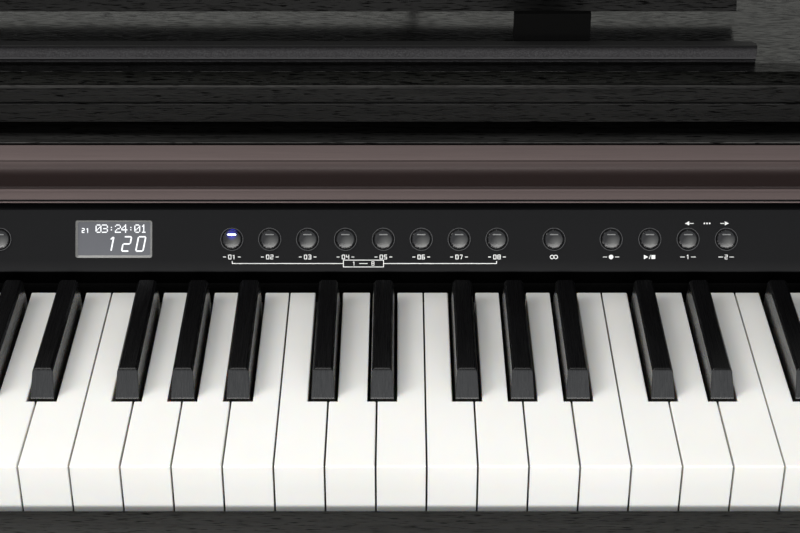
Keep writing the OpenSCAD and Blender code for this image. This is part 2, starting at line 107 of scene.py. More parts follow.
def make_floor():
    mesh = bpy.data.meshes.new("floor")
    half = FLOOR_HALF
    corners = [(-half, -half, 0), (half, -half, 0), (half, half, 0), (-half, half, 0)]
    mesh.from_pydata(corners, [], [(0, 1, 2, 3)])
    floor = bpy.data.objects.new("floor", mesh)
    bpy.context.scene.collection.objects.link(floor)
    finish = Finish("floor_finish", {"Roughness": 0.8, "Specular IOR Level": 0.2})
    finish.tint(finish.noise((3, 3, 3)), (0.40, 0.395, 0.385), (0.44, 0.435, 0.425))
    floor.data.materials.append(finish.material)


# ---- Materials ----

class Finish:
    """A procedural material round one Principled shader."""

    def __init__(self, name, fixed):
        self.material = bpy.data.materials.new(name)
        self.material.use_nodes = True
        self.nodes = self.material.node_tree.nodes
        self.links = self.material.node_tree.links
        self.shader = self.nodes["Principled BSDF"]
        for socket, value in fixed.items():
            self.shader.inputs[socket].default_value = value

    def add(self, kind, inputs, **settings):
        node = self.nodes.new(kind)
        for key, value in settings.items():
            setattr(node, key, value)
        for key, value in inputs.items():
            if isinstance(value, bpy.types.NodeSocket):
                self.links.new(value, node.inputs[key])
            else:
                node.inputs[key].default_value = value
        return node

    def coords(self, kind="Object"):
        return self.add("ShaderNodeTexCoord", {}).outputs[kind]

    def noise(self, scale, detail=3.0, rough=0.5, shift=(0, 0, 0)):
        """Noise with that many features to the metre along each axis."""
        mapped = self.add("ShaderNodeMapping", {"Vector": self.coords(), "Scale": scale, "Location": shift})
        noise = self.add("ShaderNodeTexNoise", {
            "Vector": mapped.outputs["Vector"], "Scale": 1.0, "Detail": detail, "Roughness": rough})
        return noise.outputs["Fac"]

    def spread(self, value, low, high, to_low=0.0, to_high=1.0):
        node = self.add("ShaderNodeMapRange", {
            "Value": value, "From Min": low, "From Max": high, "To Min": to_low, "To Max": to_high})
        return node.outputs["Result"]

    def math(self, operation, a, b=0.0):
        return self.add("ShaderNodeMath", {0: a, 1: b}, operation=operation).outputs["Value"]

    def blend(self, factor, a, b):
        node = self.nodes.new("ShaderNodeMix")
        node.data_type = "RGBA"
        for socket, value in ((node.inputs[0], factor), (node.inputs[6], a), (node.inputs[7], b)):
            if isinstance(value, bpy.types.NodeSocket):
                self.links.new(value, socket)
            else:
                socket.default_value = value if isinstance(value, float) else (*value[:3], 1)
        return node.outputs[2]

    def follow(self, value, stops):
        """The amount at value, on straight lines between stops of place and amount."""
        total = stops[0][1]
        for (place, amount), (next_place, next_amount) in zip(stops, stops[1:]):
            step = self.spread(value, place, next_place, 0.0, next_amount - amount)
            total = self.math("ADD", step, total)
        return total

    def dim(self, colour, amount):
        """The colour times an amount, which may be more than 1."""
        return self.add("ShaderNodeVectorMath", {0: colour, "Scale": amount}, operation="SCALE").outputs["Vector"]

    def place(self, letter, kind="Object"):
        """How far along one axis of the part a point lies."""
        return self.add("ShaderNodeSeparateXYZ", {"Vector": self.coords(kind)}).outputs[letter]

    def drive(self, socket, value):
        self.links.new(value, self.shader.inputs[socket])

    def tint(self, factor, a, b):
        self.drive("Base Color", self.blend(factor, a, b))

    def bump(self, height, depth, strength=1.0):
        node = self.add("ShaderNodeBump", {"Height": height, "Distance": depth, "Strength": strength})
        self.drive("Normal", node.outputs["Normal"])


def along(axis, lengthwise, across):
    """A noise scale that is stretched along one axis."""
    return tuple(lengthwise if letter == axis else across for letter in "xyz")


def make_wood(name, axis, dark, light, rough=(0.28, 0.42), pore_cut=(0.58, 0.66), relief=0.00006, level=0.14,
              profile=()):
    """Stained open-grained wood: fibres and bands for colour, short open pores for relief. Each entry of
    profile is an axis and stops: a place on it, and how light the colour and how strong the sheen are there; mostly
    painted light and shade."""
    finish = Finish(name, {})
    fibres = finish.noise(along(axis, 16, 700), 4, 0.6)
    bands = finish.noise(along(axis, 2.2, 70), 3, 0.55)
    pores = finish.spread(finish.noise(along(axis, 130, 2300), 1.5, 0.5, (3.1, 7.7, 1.9)), *pore_cut)
    colour = finish.blend(finish.spread(finish.math("ADD", fibres, bands), 0.75, 1.25), dark, light)
    deep = tuple(0.18 * value for value in dark)
    colour = finish.blend(pores, colour, deep)
    sheen = finish.spread(pores, 0.0, 1.0, level, 0.15 * level)
    # The profile paints light and shade into the colour and the sheen, by place on the part
    for letter, stops in profile:
        place = finish.place(letter)
        stain_and_painted_light = finish.follow(place, [(start, lightness) for start, lightness, _ in stops])
        painted_sheen = finish.follow(place, [(start, strength) for start, _, strength in stops])
        colour = finish.dim(colour, stain_and_painted_light)
        sheen = finish.math("MULTIPLY", painted_sheen, sheen)
    finish.drive("Specular IOR Level", sheen)
    finish.drive("Base Color", colour)
    finish.drive("Roughness", finish.spread(fibres, 0.3, 0.7, *rough))
    finish.bump(finish.math("SUBTRACT", finish.math("MULTIPLY", fibres, 0.35), pores), relief)
    return finish.material


# Painted light and shade on the fascia, by height: painted shade that makes the cove black above and painted light
# low in it, painted shade in the face's groove and on the slope under the top board, and a painted highlight on the
# edge under the top board
FASCIA_PROFILE = (("Z", (
    (0.7974, 11.0, 1.0), (0.7982, 6.0, 1.0), (0.7990, 3.8, 0.9), (0.8000, 1.2, 0.2), (0.8010, 0.3, 0.0),
    (0.8100, 0.1, 0.0), (0.8106, 1.0, 1.0), (0.8208, 1.0, 1.0), (0.8210, 0.3, 0.3), (0.8216, 0.3, 0.3),
    (0.8220, 1.0, 1.1), (0.8290, 1.0, 1.0), (0.8297, 1.0, 0.3), (0.8303, 4.0, 0.5), (0.8304, 11.0, 1.0))),)
# The top board's front, with painted shade that darkens it towards its upper edge and takes the sheen off that edge,
# and its polished top, with a painted shadow of the ledge on it in front of the ledge
TOP_PROFILE = (
    ("Z", ((0.8304, 1.0, 0.36), (0.8345, 0.9, 0.2), (0.8378, 0.8, 0.06), (0.83825, 0.6, 0.05),
           (0.83838, 0.2, 1.0))),
    ("Y", ((-0.0151, 1.0, 1.0), (-0.0147, 0.4, 0.25), (-0.0055, 0.4, 0.25), (-0.0035, 1.0, 1.0))))
# Painted light and shade on the ledge's paint, by height: a painted highlight on its lower edge, painted shade on the
# chamfer, and painted shade that darkens the front towards its top edge
LEDGE_PROFILE = (
    (0.8384, 6.0), (0.8386, 5.0), (0.8388, 0.3), (0.8404, 0.3), (0.8408, 1.0), (0.8445, 0.95), (0.8461, 0.6),
    (0.8473, 0.15))


def make_plastic(name, colour, rough, grain, relief, level=0.5):
    """Moulded plastic with a fine texture and a slow change of tone."""
    finish = Finish(name, {"Specular IOR Level": level})
    slow = finish.noise((30, 30, 30), 2)
    fine = finish.noise((grain, grain, grain), 2)
    finish.tint(finish.spread(slow, 0.3, 0.7), tuple(0.9 * c for c in colour), tuple(1.1 * c for c in colour))
    finish.drive("Roughness", finish.spread(fine, 0.3, 0.7, rough - 0.05, rough + 0.05))
    finish.bump(fine, relief)
    return finish.material


def make_metal(name, colour, rough, axis=None, grain=2500, relief=0.00001, metallic=1.0):
    """Metal, with a grain along one axis or a fine even texture."""
    finish = Finish(name, {"Metallic": metallic})
    scale = along(axis, grain / 60, grain) if axis else (grain, grain, grain)
    fine = finish.noise(scale, 3)
    slow = finish.noise((12, 12, 12), 2)
    lighter = tuple(min(1, 1.07 * c) for c in colour)
    finish.tint(finish.spread(slow, 0.3, 0.7), tuple(0.93 * c for c in colour), lighter)
    finish.drive("Roughness", finish.spread(fine, 0.3, 0.7, rough - 0.05, rough + 0.05))
    finish.bump(fine, relief)
    return finish.material


# Painted shade on the white keys: their lightness along their length, from the front to where they pass under the
# panel
KEY_PAINTED_SHADE = ((-0.165, 1.0), (-0.12, 0.86), (-0.085, 0.80), (-0.07, 0.72))


def make_white_key():
    """Glossy ivory-coloured plastic that lets a little light in, with painted shade that dims it towards the panel.
    """
    finish = Finish("white_key_finish", {
        "Specular IOR Level": 0.5, "Subsurface Weight": 0.3, "Subsurface Radius": (0.004, 0.0028, 0.0015),
        "Subsurface Scale": 1.0})
    slow = finish.noise((9, 14, 9), 2)
    ivory = finish.blend(finish.spread(slow, 0.3, 0.7), (0.82, 0.813, 0.785), (0.86, 0.853, 0.83))
    finish.drive("Base Color", finish.dim(ivory, finish.follow(finish.place("Y"), KEY_PAINTED_SHADE)))
    wear = finish.noise((60, 25, 60), 3)
    finish.drive("Roughness", finish.spread(wear, 0.3, 0.7, 0.16, 0.26))
    finish.bump(finish.noise((160, 90, 160), 2), 0.00001)
    return finish.material


def make_black_key():
    """Satin black with fine lines drawn along the key; painted shade on its top, which has less sheen than its sides
    so it looks darker.
    """
    finish = Finish("black_key_finish", {})
    lines = finish.noise((5200, 60, 180), 2)
    slow = finish.noise((25, 25, 25), 2)
    height = finish.place("Z")
    # Painted shade: less sheen on the top than on the sides
    finish.drive("Specular IOR Level", finish.spread(height, 0.7469, 0.7458, 0.10, 0.62))
    finish.tint(finish.spread(slow, 0.3, 0.7), (0.0014, 0.0014, 0.0016), (0.0028, 0.0028, 0.0031))
    finish.drive("Roughness", finish.spread(lines, 0.3, 0.7, 0.2, 0.34))
    finish.bump(lines, 0.000003)
    return finish.material


def make_cap(name, glow):
    """Smoky button cap with a black edge of painted shade round it, and painted light that makes it lighter low down
    on its right.
    """
    finish = Finish(name, {"Specular IOR Level": 0.3, "Roughness": 0.2})
    # Place on the cap's face in mm, from its middle, worked out from the node's own box
    place = finish.add("ShaderNodeMapping", {
        "Vector": finish.coords("Generated"), "Location": (-5.8, 0, -9.1),
        "Scale": (11.6, 0, 14.0)}).outputs["Vector"]
    radius = finish.add("ShaderNodeVectorMath", {0: place}, operation="LENGTH").outputs["Value"]
    # Painted light: a lighter patch low down on the right of the face
    spot = finish.add("ShaderNodeVectorMath", {0: place, 1: (1.5, 0, -1.9)}, operation="DISTANCE").outputs["Value"]
    grain = finish.noise((1500, 1500, 1500), 2)
    near = finish.math("ADD", finish.spread(spot, 4.6, 0.4), finish.spread(grain, 0, 1, -0.04, 0.04))
    face = finish.blend(near, (0.016, 0.016, 0.017), (0.10, 0.10, 0.098))
    # Painted shade: a black edge round the cap
    finish.drive("Base Color", finish.blend(finish.spread(radius, 4.3, 4.55), face, (0.001, 0.001, 0.001)))
    finish.bump(grain, 0.000004)
    if glow:
        low_down = finish.add("ShaderNodeMapping", {
            "Vector": place, "Location": (0, 0, -1.5), "Scale": (0.55, 0, 0.6)}).outputs["Vector"]
        far = finish.add("ShaderNodeVectorMath", {0: low_down}, operation="LENGTH").outputs["Value"]
        strength = finish.math("POWER", finish.spread(far, 1.9, 0.0), 1.6)
        finish.shader.inputs["Emission Color"].default_value = (0.035, 0.045, 0.9, 1)
        finish.drive("Emission Strength", finish.math("MULTIPLY", strength, 0.9))
    return finish.material


# Painted shade on the rail's nose and riser: how far its colour goes to a dark brown, by height
RISER_PROFILE = (
    (0.7787, 0.0), (0.7793, 1.0), (0.7868, 1.0), (0.7882, 0.95), (0.7896, 0.86), (0.7915, 0.75), (0.7930, 0.64),
    (0.7936, 0.5), (0.7940, 0.0))


def make_rail():
    """Bronze-coloured satin finish, with painted shade: the nose and the riser go to a dark brown, and the groove
    above the lip and the back edge under the fascia are black; a line over the riser is dark."""
    finish = Finish("bronze_finish", {"Metallic": 0.12, "Specular IOR Level": 0.14})
    back = finish.place("Y")
    height = finish.place("Z")
    fine = finish.noise(along("x", 30, 1600), 3)
    colour = finish.blend(finish.spread(fine, 0.3, 0.7), (0.142, 0.111, 0.108), (0.160, 0.125, 0.121))
    # Painted shade: the nose and riser go to a dark brown
    colour = finish.blend(finish.follow(height, RISER_PROFILE), colour, (0.013, 0.0075, 0.007))
    line = finish.math("MULTIPLY", finish.spread(back, -0.0322, -0.0319), finish.spread(back, -0.0307, -0.0310))
    colour = finish.blend(finish.math("MULTIPLY", line, 0.75), colour, (0.02, 0.014, 0.013))
    # Painted shade: the groove above the lip and the back edge under the fascia go black
    groove = finish.math("MULTIPLY", finish.spread(height, 0.7772, 0.7773), finish.spread(height, 0.77842, 0.77830))
    painted_shade = finish.math("MAXIMUM", groove, finish.spread(back, -0.0184, -0.0180))
    finish.drive("Base Color", finish.blend(painted_shade, colour, (0.001, 0.0008, 0.0008)))
    finish.drive("Roughness", finish.spread(fine, 0.3, 0.7, 0.42, 0.5))
    finish.bump(fine, 0.000003)
    return finish.material


def make_ledge():
    """Speckled dark metal paint, with painted light and shade: lighter low on its front, a painted highlight along
    the lower edge and over the chamfer, and painted shade on its top.
    """
    finish = Finish("ledge_finish", {"Metallic": 0.3})
    height = finish.place("Z")
    speckle = finish.spread(finish.noise((1700, 1700, 1700), 2, 0.6), 0.42, 0.62)
    colour = finish.blend(speckle, (0.027, 0.026, 0.028), (0.052, 0.051, 0.054))
    colour = finish.dim(colour, finish.follow(height, LEDGE_PROFILE))
    # Painted highlight: a light line on the edge over the chamfer
    edge = finish.math("MULTIPLY", finish.spread(height, 0.8402, 0.8406), finish.spread(height, 0.8412, 0.8409))
    colour = finish.blend(edge, colour, (0.11, 0.108, 0.112))
    # Painted shade: the top face darker
    finish.drive("Base Color", finish.blend(finish.spread(height, 0.8474, 0.8477), colour, (0.016, 0.016, 0.016)))
    # Painted shade: less sheen towards the top
    finish.drive("Specular IOR Level", finish.spread(height, 0.8440, 0.8470, 0.3, 0.03))
    finish.drive("Roughness", finish.spread(speckle, 0.0, 1.0, 0.35, 0.5))
    finish.bump(speckle, 0.00003)
    return finish.material


def make_panel():
    """Matt charcoal on the tilted face, with painted light that makes it lighter low down, and painted shade below
    it: black with no sheen.
    """
    finish = Finish("panel_finish", {})
    height = finish.place("Z")
    face = finish.spread(height, 0.7444, 0.7450)
    fine = finish.noise((2600, 2600, 2600), 2)
    matt = finish.blend(finish.spread(fine, 0.3, 0.7), (0.0066, 0.0067, 0.0072), (0.0088, 0.0089, 0.0096))
    # Painted light: the face lighter towards its lower edge
    matt = finish.blend(finish.spread(height, 0.7500, 0.7452, 0.0, 0.6), matt, (0.016, 0.016, 0.0165))
    # Painted shade: black with no sheen under the face
    finish.drive("Base Color", finish.blend(face, (0.0006, 0.0006, 0.0006), matt))
    finish.drive("Specular IOR Level", finish.math("MULTIPLY", face, 0.06))
    finish.drive("Roughness", finish.spread(fine, 0.3, 0.7, 0.42, 0.52))
    finish.bump(fine, 0.00001)
    return finish.material


def make_felt():
    finish = Finish("felt_finish", {"Roughness": 0.95, "Specular IOR Level": 0.02, "Sheen Weight": 0.01})
    fibres = finish.noise((900, 900, 1400), 4, 0.7)
    finish.tint(finish.spread(fibres, 0.35, 0.65), (0.0003, 0.0003, 0.0003), (0.0012, 0.0012, 0.0012))
    finish.bump(fibres, 0.0002)
    return finish.material


def make_glow(name, colour, strength, base=(0.3, 0.3, 0.3)):
    """Something lit from behind, a little uneven."""
    finish = Finish(name, {
        "Base Color": (*base, 1), "Roughness": 0.4, "Emission Color": (*colour, 1)})
    uneven = finish.noise((220, 220, 220), 2)
    finish.drive("Emission Strength", finish.spread(uneven, 0.2, 0.8, 0.9 * strength, 1.1 * strength))
    finish.bump(uneven, 0.000002)
    return finish.material


def make_lens():
    finish = Finish("lens_finish", {
        "Base Color": (0.95, 0.96, 0.97, 1), "Transmission Weight": 1.0, "IOR": 1.35})
    fine = finish.noise((400, 400, 400), 2)
    finish.drive("Roughness", finish.spread(fine, 0.2, 0.8, 0.02, 0.06))
    finish.bump(fine, 0.000001)
    return finish.material


def make_finishes():
    dark_wood = ((0.0022, 0.0022, 0.0021), (0.0080, 0.0078, 0.0075))
    top_wood = ((0.0032, 0.0033, 0.0029), (0.0080, 0.0082, 0.0072))
    slip_wood = ((0.009, 0.009, 0.0083), (0.022, 0.022, 0.0205))
    board = ((0.030, 0.028, 0.026), (0.048, 0.045, 0.042))
    return {
        "wood_x": make_wood("black_wood_across", "x", *dark_wood),
        "fascia_wood": make_wood("fascia_finish", "x", *dark_wood, level=0.165, profile=FASCIA_PROFILE),
        "wood_z": make_wood("black_wood_up", "z", *dark_wood),
        "slip_wood": make_wood("slip_wood_finish", "x", *slip_wood, rough=(0.38, 0.5), relief=0.00003, level=0.1),
        "top_wood": make_wood("top_wood_finish", "x", *top_wood, rough=(0.2, 0.3), pore_cut=(0.55, 0.60), level=0.48,
                              profile=TOP_PROFILE),
        "desk_wood": make_wood("desk_finish", "x", *dark_wood, rough=(0.35, 0.5), level=0.05),
        "back_board": make_wood("back_board_finish", "x", *board, rough=(0.55, 0.7), relief=0.00003),
        "bronze_rail": make_rail(),
        "panel_plastic": make_panel(),
        "grey_plastic": make_plastic("grey_plastic_finish", (0.09, 0.09, 0.092), 0.5, 2000, 0.00001),
        "black_plastic": make_plastic("black_plastic_finish", (0.0012, 0.0012, 0.0012), 0.42, 1800, 0.00001, 0.04),
        "button_plastic": make_cap("cap_finish", False),
        "lit_button": make_cap("lit_cap_finish", True),
        "white_key": make_white_key(),
        "black_key": make_black_key(),
        "ledge_metal": make_ledge(),
        "grille_metal": make_metal("grille_finish", (0.02, 0.02, 0.02), 0.45, None, 2500, 0.00001, 0.6),
        "steel": make_metal("steel_finish", (0.55, 0.55, 0.56), 0.3, "x"),
        "pedal_brass": make_metal("brass_finish", (0.78, 0.58, 0.27), 0.2, "y", 1800, 0.000004),
        "circuit_board": make_plastic("circuit_board_finish", (0.02, 0.11, 0.05), 0.4, 900, 0.00002),
        "speaker_parts": make_plastic("speaker_finish", (0.03, 0.03, 0.03), 0.6, 1500, 0.00002),
        "display_glass": make_lens(),
    }


# ---- Finishes and rounded edges on the CAD parts ----

# Width of the rounding of a node's edges, in mm, by material slot, and by node where that differs
ROUNDING = {
    "black_wood": 1.0, "slip_wood": 1.2, "top_wood": 0.6, "back_board": 0.6, "bronze_rail": 0.12,
    "panel_plastic": 0.18, "grey_plastic": 0.2, "black_plastic": 0.3, "button_plastic": 0.45,
    "white_key": 0.7, "black_key": 0.45, "ledge_metal": 0.25, "grille_metal": 0.3, "steel": 0.15,
    "pedal_brass": 1.6, "circuit_board": 0.1, "speaker_parts": 0.3,
}
NODE_ROUNDING = {"top_fascia": 0.35, "cover_panel": 0.3, "music_desk": 0.7, "cheek_blocks": 0.6}
GRAIN_UP = ("leg_frames", "side_panels")
OWN_FINISH = {"top_fascia": "fascia_wood", "music_desk": "desk_wood", "voice_button_1": "lit_button"}


def soften(node, width):
    """Rounds a CAD node's edges with modifiers; its mesh stays as packed."""
    weld = node.modifiers.new("weld", "WELD")
    weld.merge_threshold = 0.000002
    bevel = node.modifiers.new("bevel", "BEVEL")
    bevel.width = width
    bevel.segments = 3
    bevel.limit_method = "ANGLE"
    bevel.angle_limit = math.radians(28)
    bevel.harden_normals = False
    normals = node.modifiers.new("normals", "WEIGHTED_NORMAL")
    normals.keep_sharp = False


def dress(finishes):
    slots = {part["node"]: part["material_slot"] for part in frame["record"]["subparts"]}
    for name, node in nodes.items():
        slot = slots[name]
        if name in OWN_FINISH:
            finish = finishes[OWN_FINISH[name]]
        elif slot == "black_wood":
            finish = finishes["wood_z" if name in GRAIN_UP else "wood_x"]
        else:
            finish = finishes[slot]
        node.data.materials.clear()
        node.data.materials.append(finish)
        width = NODE_ROUNDING.get(name, ROUNDING.get(slot))
        if width:
            soften(node, width * MM)


# ---- Control panel: display, lamps and printed marks ----

PANEL_TILT = math.radians(58)
PANEL_FACE_RISE = 7.5 * MM
BUTTONS = [f"voice_button_{i}" for i in range(1, 9)] + [
    "duo_button", "record_button", "play_button", "track_1_button", "track_2_button", "value_button"]
VOICES = 8
# How far up the panel's face the buttons and the knob are, in mm
BUTTON_UP = 16.7
KNOB_UP = 16.0


def panel_matrix():
    """The panel's own frame: x across, y up the face, z out of it, from the lower edge of the face."""
    low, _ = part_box("control_panel")
    return Matrix.Translation((0, low.y, low.z + PANEL_FACE_RISE)) @ Matrix.Rotation(PANEL_TILT, 4, "X")


def make_piece(name, mesh, matrix, body, finish):
    mesh.transform(matrix)
    data = bpy.data.meshes.new(name)
    mesh.to_mesh(data)
    mesh.free()
    piece = bpy.data.objects.new(name, data)
    bpy.context.scene.collection.objects.link(piece)
    piece.data.materials.append(finish)
    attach(piece, body)
    return piece


def add_prism(mesh, outline, low, high):
    """A closed prism over an outline in mm, counter-clockwise, from height low to high."""
    bottom = [mesh.verts.new((x * MM, y * MM, low * MM)) for x, y in outline]
    top = [mesh.verts.new((x * MM, y * MM, high * MM)) for x, y in outline]
    count = len(outline)
    mesh.faces.new(list(reversed(bottom)))
    mesh.faces.new(top)
    for i in range(count):
        j = (i + 1) % count
        mesh.faces.new((bottom[i], bottom[j], top[j], top[i]))


def rounded_outline(x, y, width, height, radius, steps=4):
    points = []
    for turn, (sx, sy) in enumerate(((1, 1), (-1, 1), (-1, -1), (1, -1))):
        for step in range(steps + 1):
            angle = math.radians(90 * (turn + step / steps))
            points.append((x + sx * (width / 2 - radius) + radius * math.cos(angle),
                           y + sy * (height / 2 - radius) + radius * math.sin(angle)))
    return points


def add_bar(mesh, x, y, width, height, low, high):
    add_prism(mesh, [(x - width / 2, y - height / 2), (x + width / 2, y - height / 2),
                     (x + width / 2, y + height / 2), (x - width / 2, y + height / 2)], low, high)


def add_stroke(mesh, a, b, width, low, high):
    """A straight stroke between two points, with pointed-off ends."""
    a, b = Vector(a), Vector(b)
    way = (b - a).normalized()
    side = Vector((-way.y, way.x)) * width / 2
    tip = way * width / 2
    outline = [a - tip, a - side, b - side, b + tip, b + side, a + side]
    add_prism(mesh, [tuple(point) for point in outline], low, high)


# Strokes of each figure on a grid 2 wide and 4 high
FIGURES = {
    "0": [(0, 0, 2, 0), (2, 0, 2, 4), (2, 4, 0, 4), (0, 4, 0, 0)],
    "1": [(1, 0, 1, 4), (1, 4, 0.2, 3.2)],
    "2": [(0, 4, 2, 4), (2, 4, 2, 2), (2, 2, 0, 2), (0, 2, 0, 0), (0, 0, 2, 0)],
    "3": [(0, 4, 2, 4), (2, 4, 2, 0), (0.4, 2, 2, 2), (0, 0, 2, 0)],
    "4": [(0, 4, 0, 2), (0, 2, 2, 2), (2, 4, 2, 0)],
    "5": [(2, 4, 0, 4), (0, 4, 0, 2), (0, 2, 2, 2), (2, 2, 2, 0), (2, 0, 0, 0)],
    "6": [(2, 4, 0, 4), (0, 4, 0, 0), (0, 0, 2, 0), (2, 0, 2, 2), (2, 2, 0, 2)],
    "7": [(0, 4, 2, 4), (2, 4, 1, 0)],
    "8": [(0, 0, 2, 0), (2, 0, 2, 4), (2, 4, 0, 4), (0, 4, 0, 0), (0, 2, 2, 2)],
    "9": [(2, 2, 0, 2), (0, 2, 0, 4), (0, 4, 2, 4), (2, 4, 2, 0), (2, 0, 0, 0)],
}


def add_figure(mesh, figure, x, y, size, width, low, high, slant=0.0, gap=0.0, spread=1.0):
    """One figure with its lower left corner at x, y; gap shortens each stroke, as on a display."""
    unit = size / 4
    for x0, y0, x1, y1 in FIGURES[figure]:
        start, end = Vector((x0 * spread, y0)) * unit, Vector((x1 * spread, y1)) * unit
        cut = (end - start).normalized() * gap
        start, end = start + cut, end - cut
        add_stroke(mesh, (x + start.x + slant * start.y, y + start.y),
                   (x + end.x + slant * end.y, y + end.y), width, low, high)


def add_number(mesh, text, centre, y, size, width, low, high, pitch):
    spread = 1.25
    start = centre - (len(text) - 1) * pitch / 2 - spread * size / 4
    for place, figure in enumerate(text):
        add_figure(mesh, figure, start + place * pitch, y, size, width, low, high, spread=spread)


# Dot patterns of the display's upper line, five dots wide and seven high
DOTS = {
    "0": ("01110", "10001", "10011", "10101", "11001", "10001", "01110"),
    "1": ("00100", "01100", "00100", "00100", "00100", "00100", "01110"),
    "2": ("01110", "10001", "00001", "00110", "01000", "10000", "11111"),
    "3": ("11110", "00001", "00001", "01110", "00001", "00001", "11110"),
    "4": ("00010", "00110", "01010", "10010", "11111", "00010", "00010"),
    ":": ("00000", "00000", "00100", "00000", "00100", "00000", "00000"),
}
DISPLAY_LINE = "03:24:01"
TEMPO = "120"
WINDOW_X = 1.0
WINDOW_UP = 16.8
WINDOW_W = 40.6
WINDOW_H = 19.8


def make_display(matrix):
    """The read-out: a lit plate, a dotted line of figures, three large figures, a row of small flags and
    the sloping rim round them."""
    floor, face = -2.4, -1.5
    plate = bmesh.new()
    add_prism(plate, rounded_outline(WINDOW_X, WINDOW_UP, WINDOW_W - 0.6, WINDOW_H - 0.6, 0.8), floor, face)
    shown = make_piece("display_plate", plate, matrix, "cabinet", make_plate_finish())
    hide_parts("display_window")

    marks = bmesh.new()
    low, high = face, face + 0.08
    dot = 0.64
    line_start, line_top, letter_pitch = -8.6, 24.3, 3.42
    for place, letter in enumerate(DISPLAY_LINE):
        for row, pattern in enumerate(DOTS[letter]):
            for column, state in enumerate(pattern):
                if state == "1":
                    x = line_start + place * letter_pitch + column * dot
                    add_bar(marks, x, line_top - row * dot, 0.56, 0.56, low, high)
    tempo_start, tempo_up, tempo_pitch, tempo_size = -2.6, 10.5, 7.5, 7.6
    for place, figure in enumerate(TEMPO):
        x = tempo_start + place * tempo_pitch
        add_figure(marks, figure, x, tempo_up, tempo_size, 0.72, low, high, slant=0.2, gap=0.42)
    add_figure(marks, "1", -13.6, 20.3, 2.2, 0.4, low, high)
    add_figure(marks, "2", -16.0, 20.3, 2.2, 0.4, low, high)
    make_piece("display_figures", marks, matrix, "cabinet",
               make_glow("figure_glow", (0.93, 0.96, 1.0), 1.0))

    flags = bmesh.new()
    for place in range(13):
        add_bar(flags, -16.2 + place * 2.85, 26.0, 1.2 + 0.9 * (place % 3 == 1), 0.25, low, high)
    make_piece("display_flags", flags, matrix, "cabinet",
               make_glow("flag_glow", (0.6, 0.64, 0.72), 0.35))

    rim = bmesh.new()
    outer = rounded_outline(WINDOW_X, WINDOW_UP, WINDOW_W - 0.1, WINDOW_H - 0.1, 1.1)
    inner = rounded_outline(WINDOW_X, WINDOW_UP + 0.25, WINDOW_W - 2.4, WINDOW_H - 2.2, 0.6)
    add_rim(rim, outer, inner, floor, -0.15, -1.2)
    make_piece("display_rim", rim, matrix, "cabinet",
               make_plastic("rim_finish", (0.20, 0.20, 0.195), 0.25, 900, 0.000004))


def add_rim(mesh, outer, inner, floor, crest, lip):
    """A sloping frame: its crest on the outer outline, its lip on the inner one."""
    rings = []
    for outline, height in ((outer, floor), (outer, crest), (inner, lip), (inner, floor)):
        rings.append([mesh.verts.new((x * MM, y * MM, height * MM)) for x, y in outline])
    count = len(outer)
    for a, b in ((0, 1), (1, 2), (2, 3), (3, 0)):
        for i in range(count):
            j = (i + 1) % count
            mesh.faces.new((rings[a][i], rings[a][j], rings[b][j], rings[b][i]))


def make_plate_finish():
    """Grey-blue light that is stronger low down."""
    finish = Finish("plate_glow", {
        "Base Color": (0.03, 0.031, 0.034, 1), "Roughness": 0.3, "Specular IOR Level": 0.3,
        "Emission Color": (0.88, 0.90, 1.0, 1)})
    mottle = finish.noise((160, 160, 160), 3)
    rise = finish.spread(finish.place("Z", "Generated"), 0.0, 1.0, 0.115, 0.095)
    finish.drive("Emission Strength", finish.math("ADD", rise, finish.spread(mottle, 0, 1, -0.006, 0.006)))
    finish.bump(mottle, 0.000002)
    return finish.material


def button_centre(name):
    """How far right of the middle a button or the knob is, in mm."""
    low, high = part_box(name)
    return (low.x + high.x) / 2 / MM


def make_lamps(matrix):
    """The slit of each button's lamp, near the top of its cap."""
    dark = make_plastic("lamp_slit_finish", (0.16, 0.16, 0.16), 0.3, 900, 0.000003)
    lit = make_glow("lamp_glow", (0.62, 0.70, 1.0), 9.0)
    for name in BUTTONS:
        slit = bmesh.new()
        add_prism(slit, rounded_outline(button_centre(name), BUTTON_UP + 2.45, 4.5, 0.62, 0.3), 0.9, 1.42)
        finish = lit if name == "voice_button_1" else dark
        make_piece(name + "_lamp", slit, matrix, name, finish)


LABEL_UP = 6.3
LABEL_SIZE = 2.1
LABEL_MIDDLE = LABEL_UP + LABEL_SIZE / 2
# Lowest and highest level of the print, in mm from the panel's face
PRINT = (-0.02, 0.035)


def make_prints(matrix):
    """Everything printed on the panel, in one ink."""
    ink = make_plastic("ink_finish", (0.80, 0.80, 0.79), 0.5, 1200, 0.000004)
    for name, draw in (("voice_numbers", draw_voice_numbers), ("voice_bracket", draw_voice_bracket),
                       ("panel_signs", draw_signs), ("volume_scale", draw_volume_scale)):
        mesh = bmesh.new()
        draw(mesh)
        make_piece(name, mesh, matrix, "cabinet", ink)


def draw_voice_numbers(voices):
    """The number of each voice between two dashes."""
    for i in range(VOICES):
        centre = button_centre(BUTTONS[i])
        add_number(voices, f"0{i + 1}", centre, LABEL_UP, LABEL_SIZE, 0.4, *PRINT, pitch=2.2)
        for side in (-1, 1):
            add_bar(voices, centre + side * 3.9, LABEL_MIDDLE, 1.5, 0.4, *PRINT)


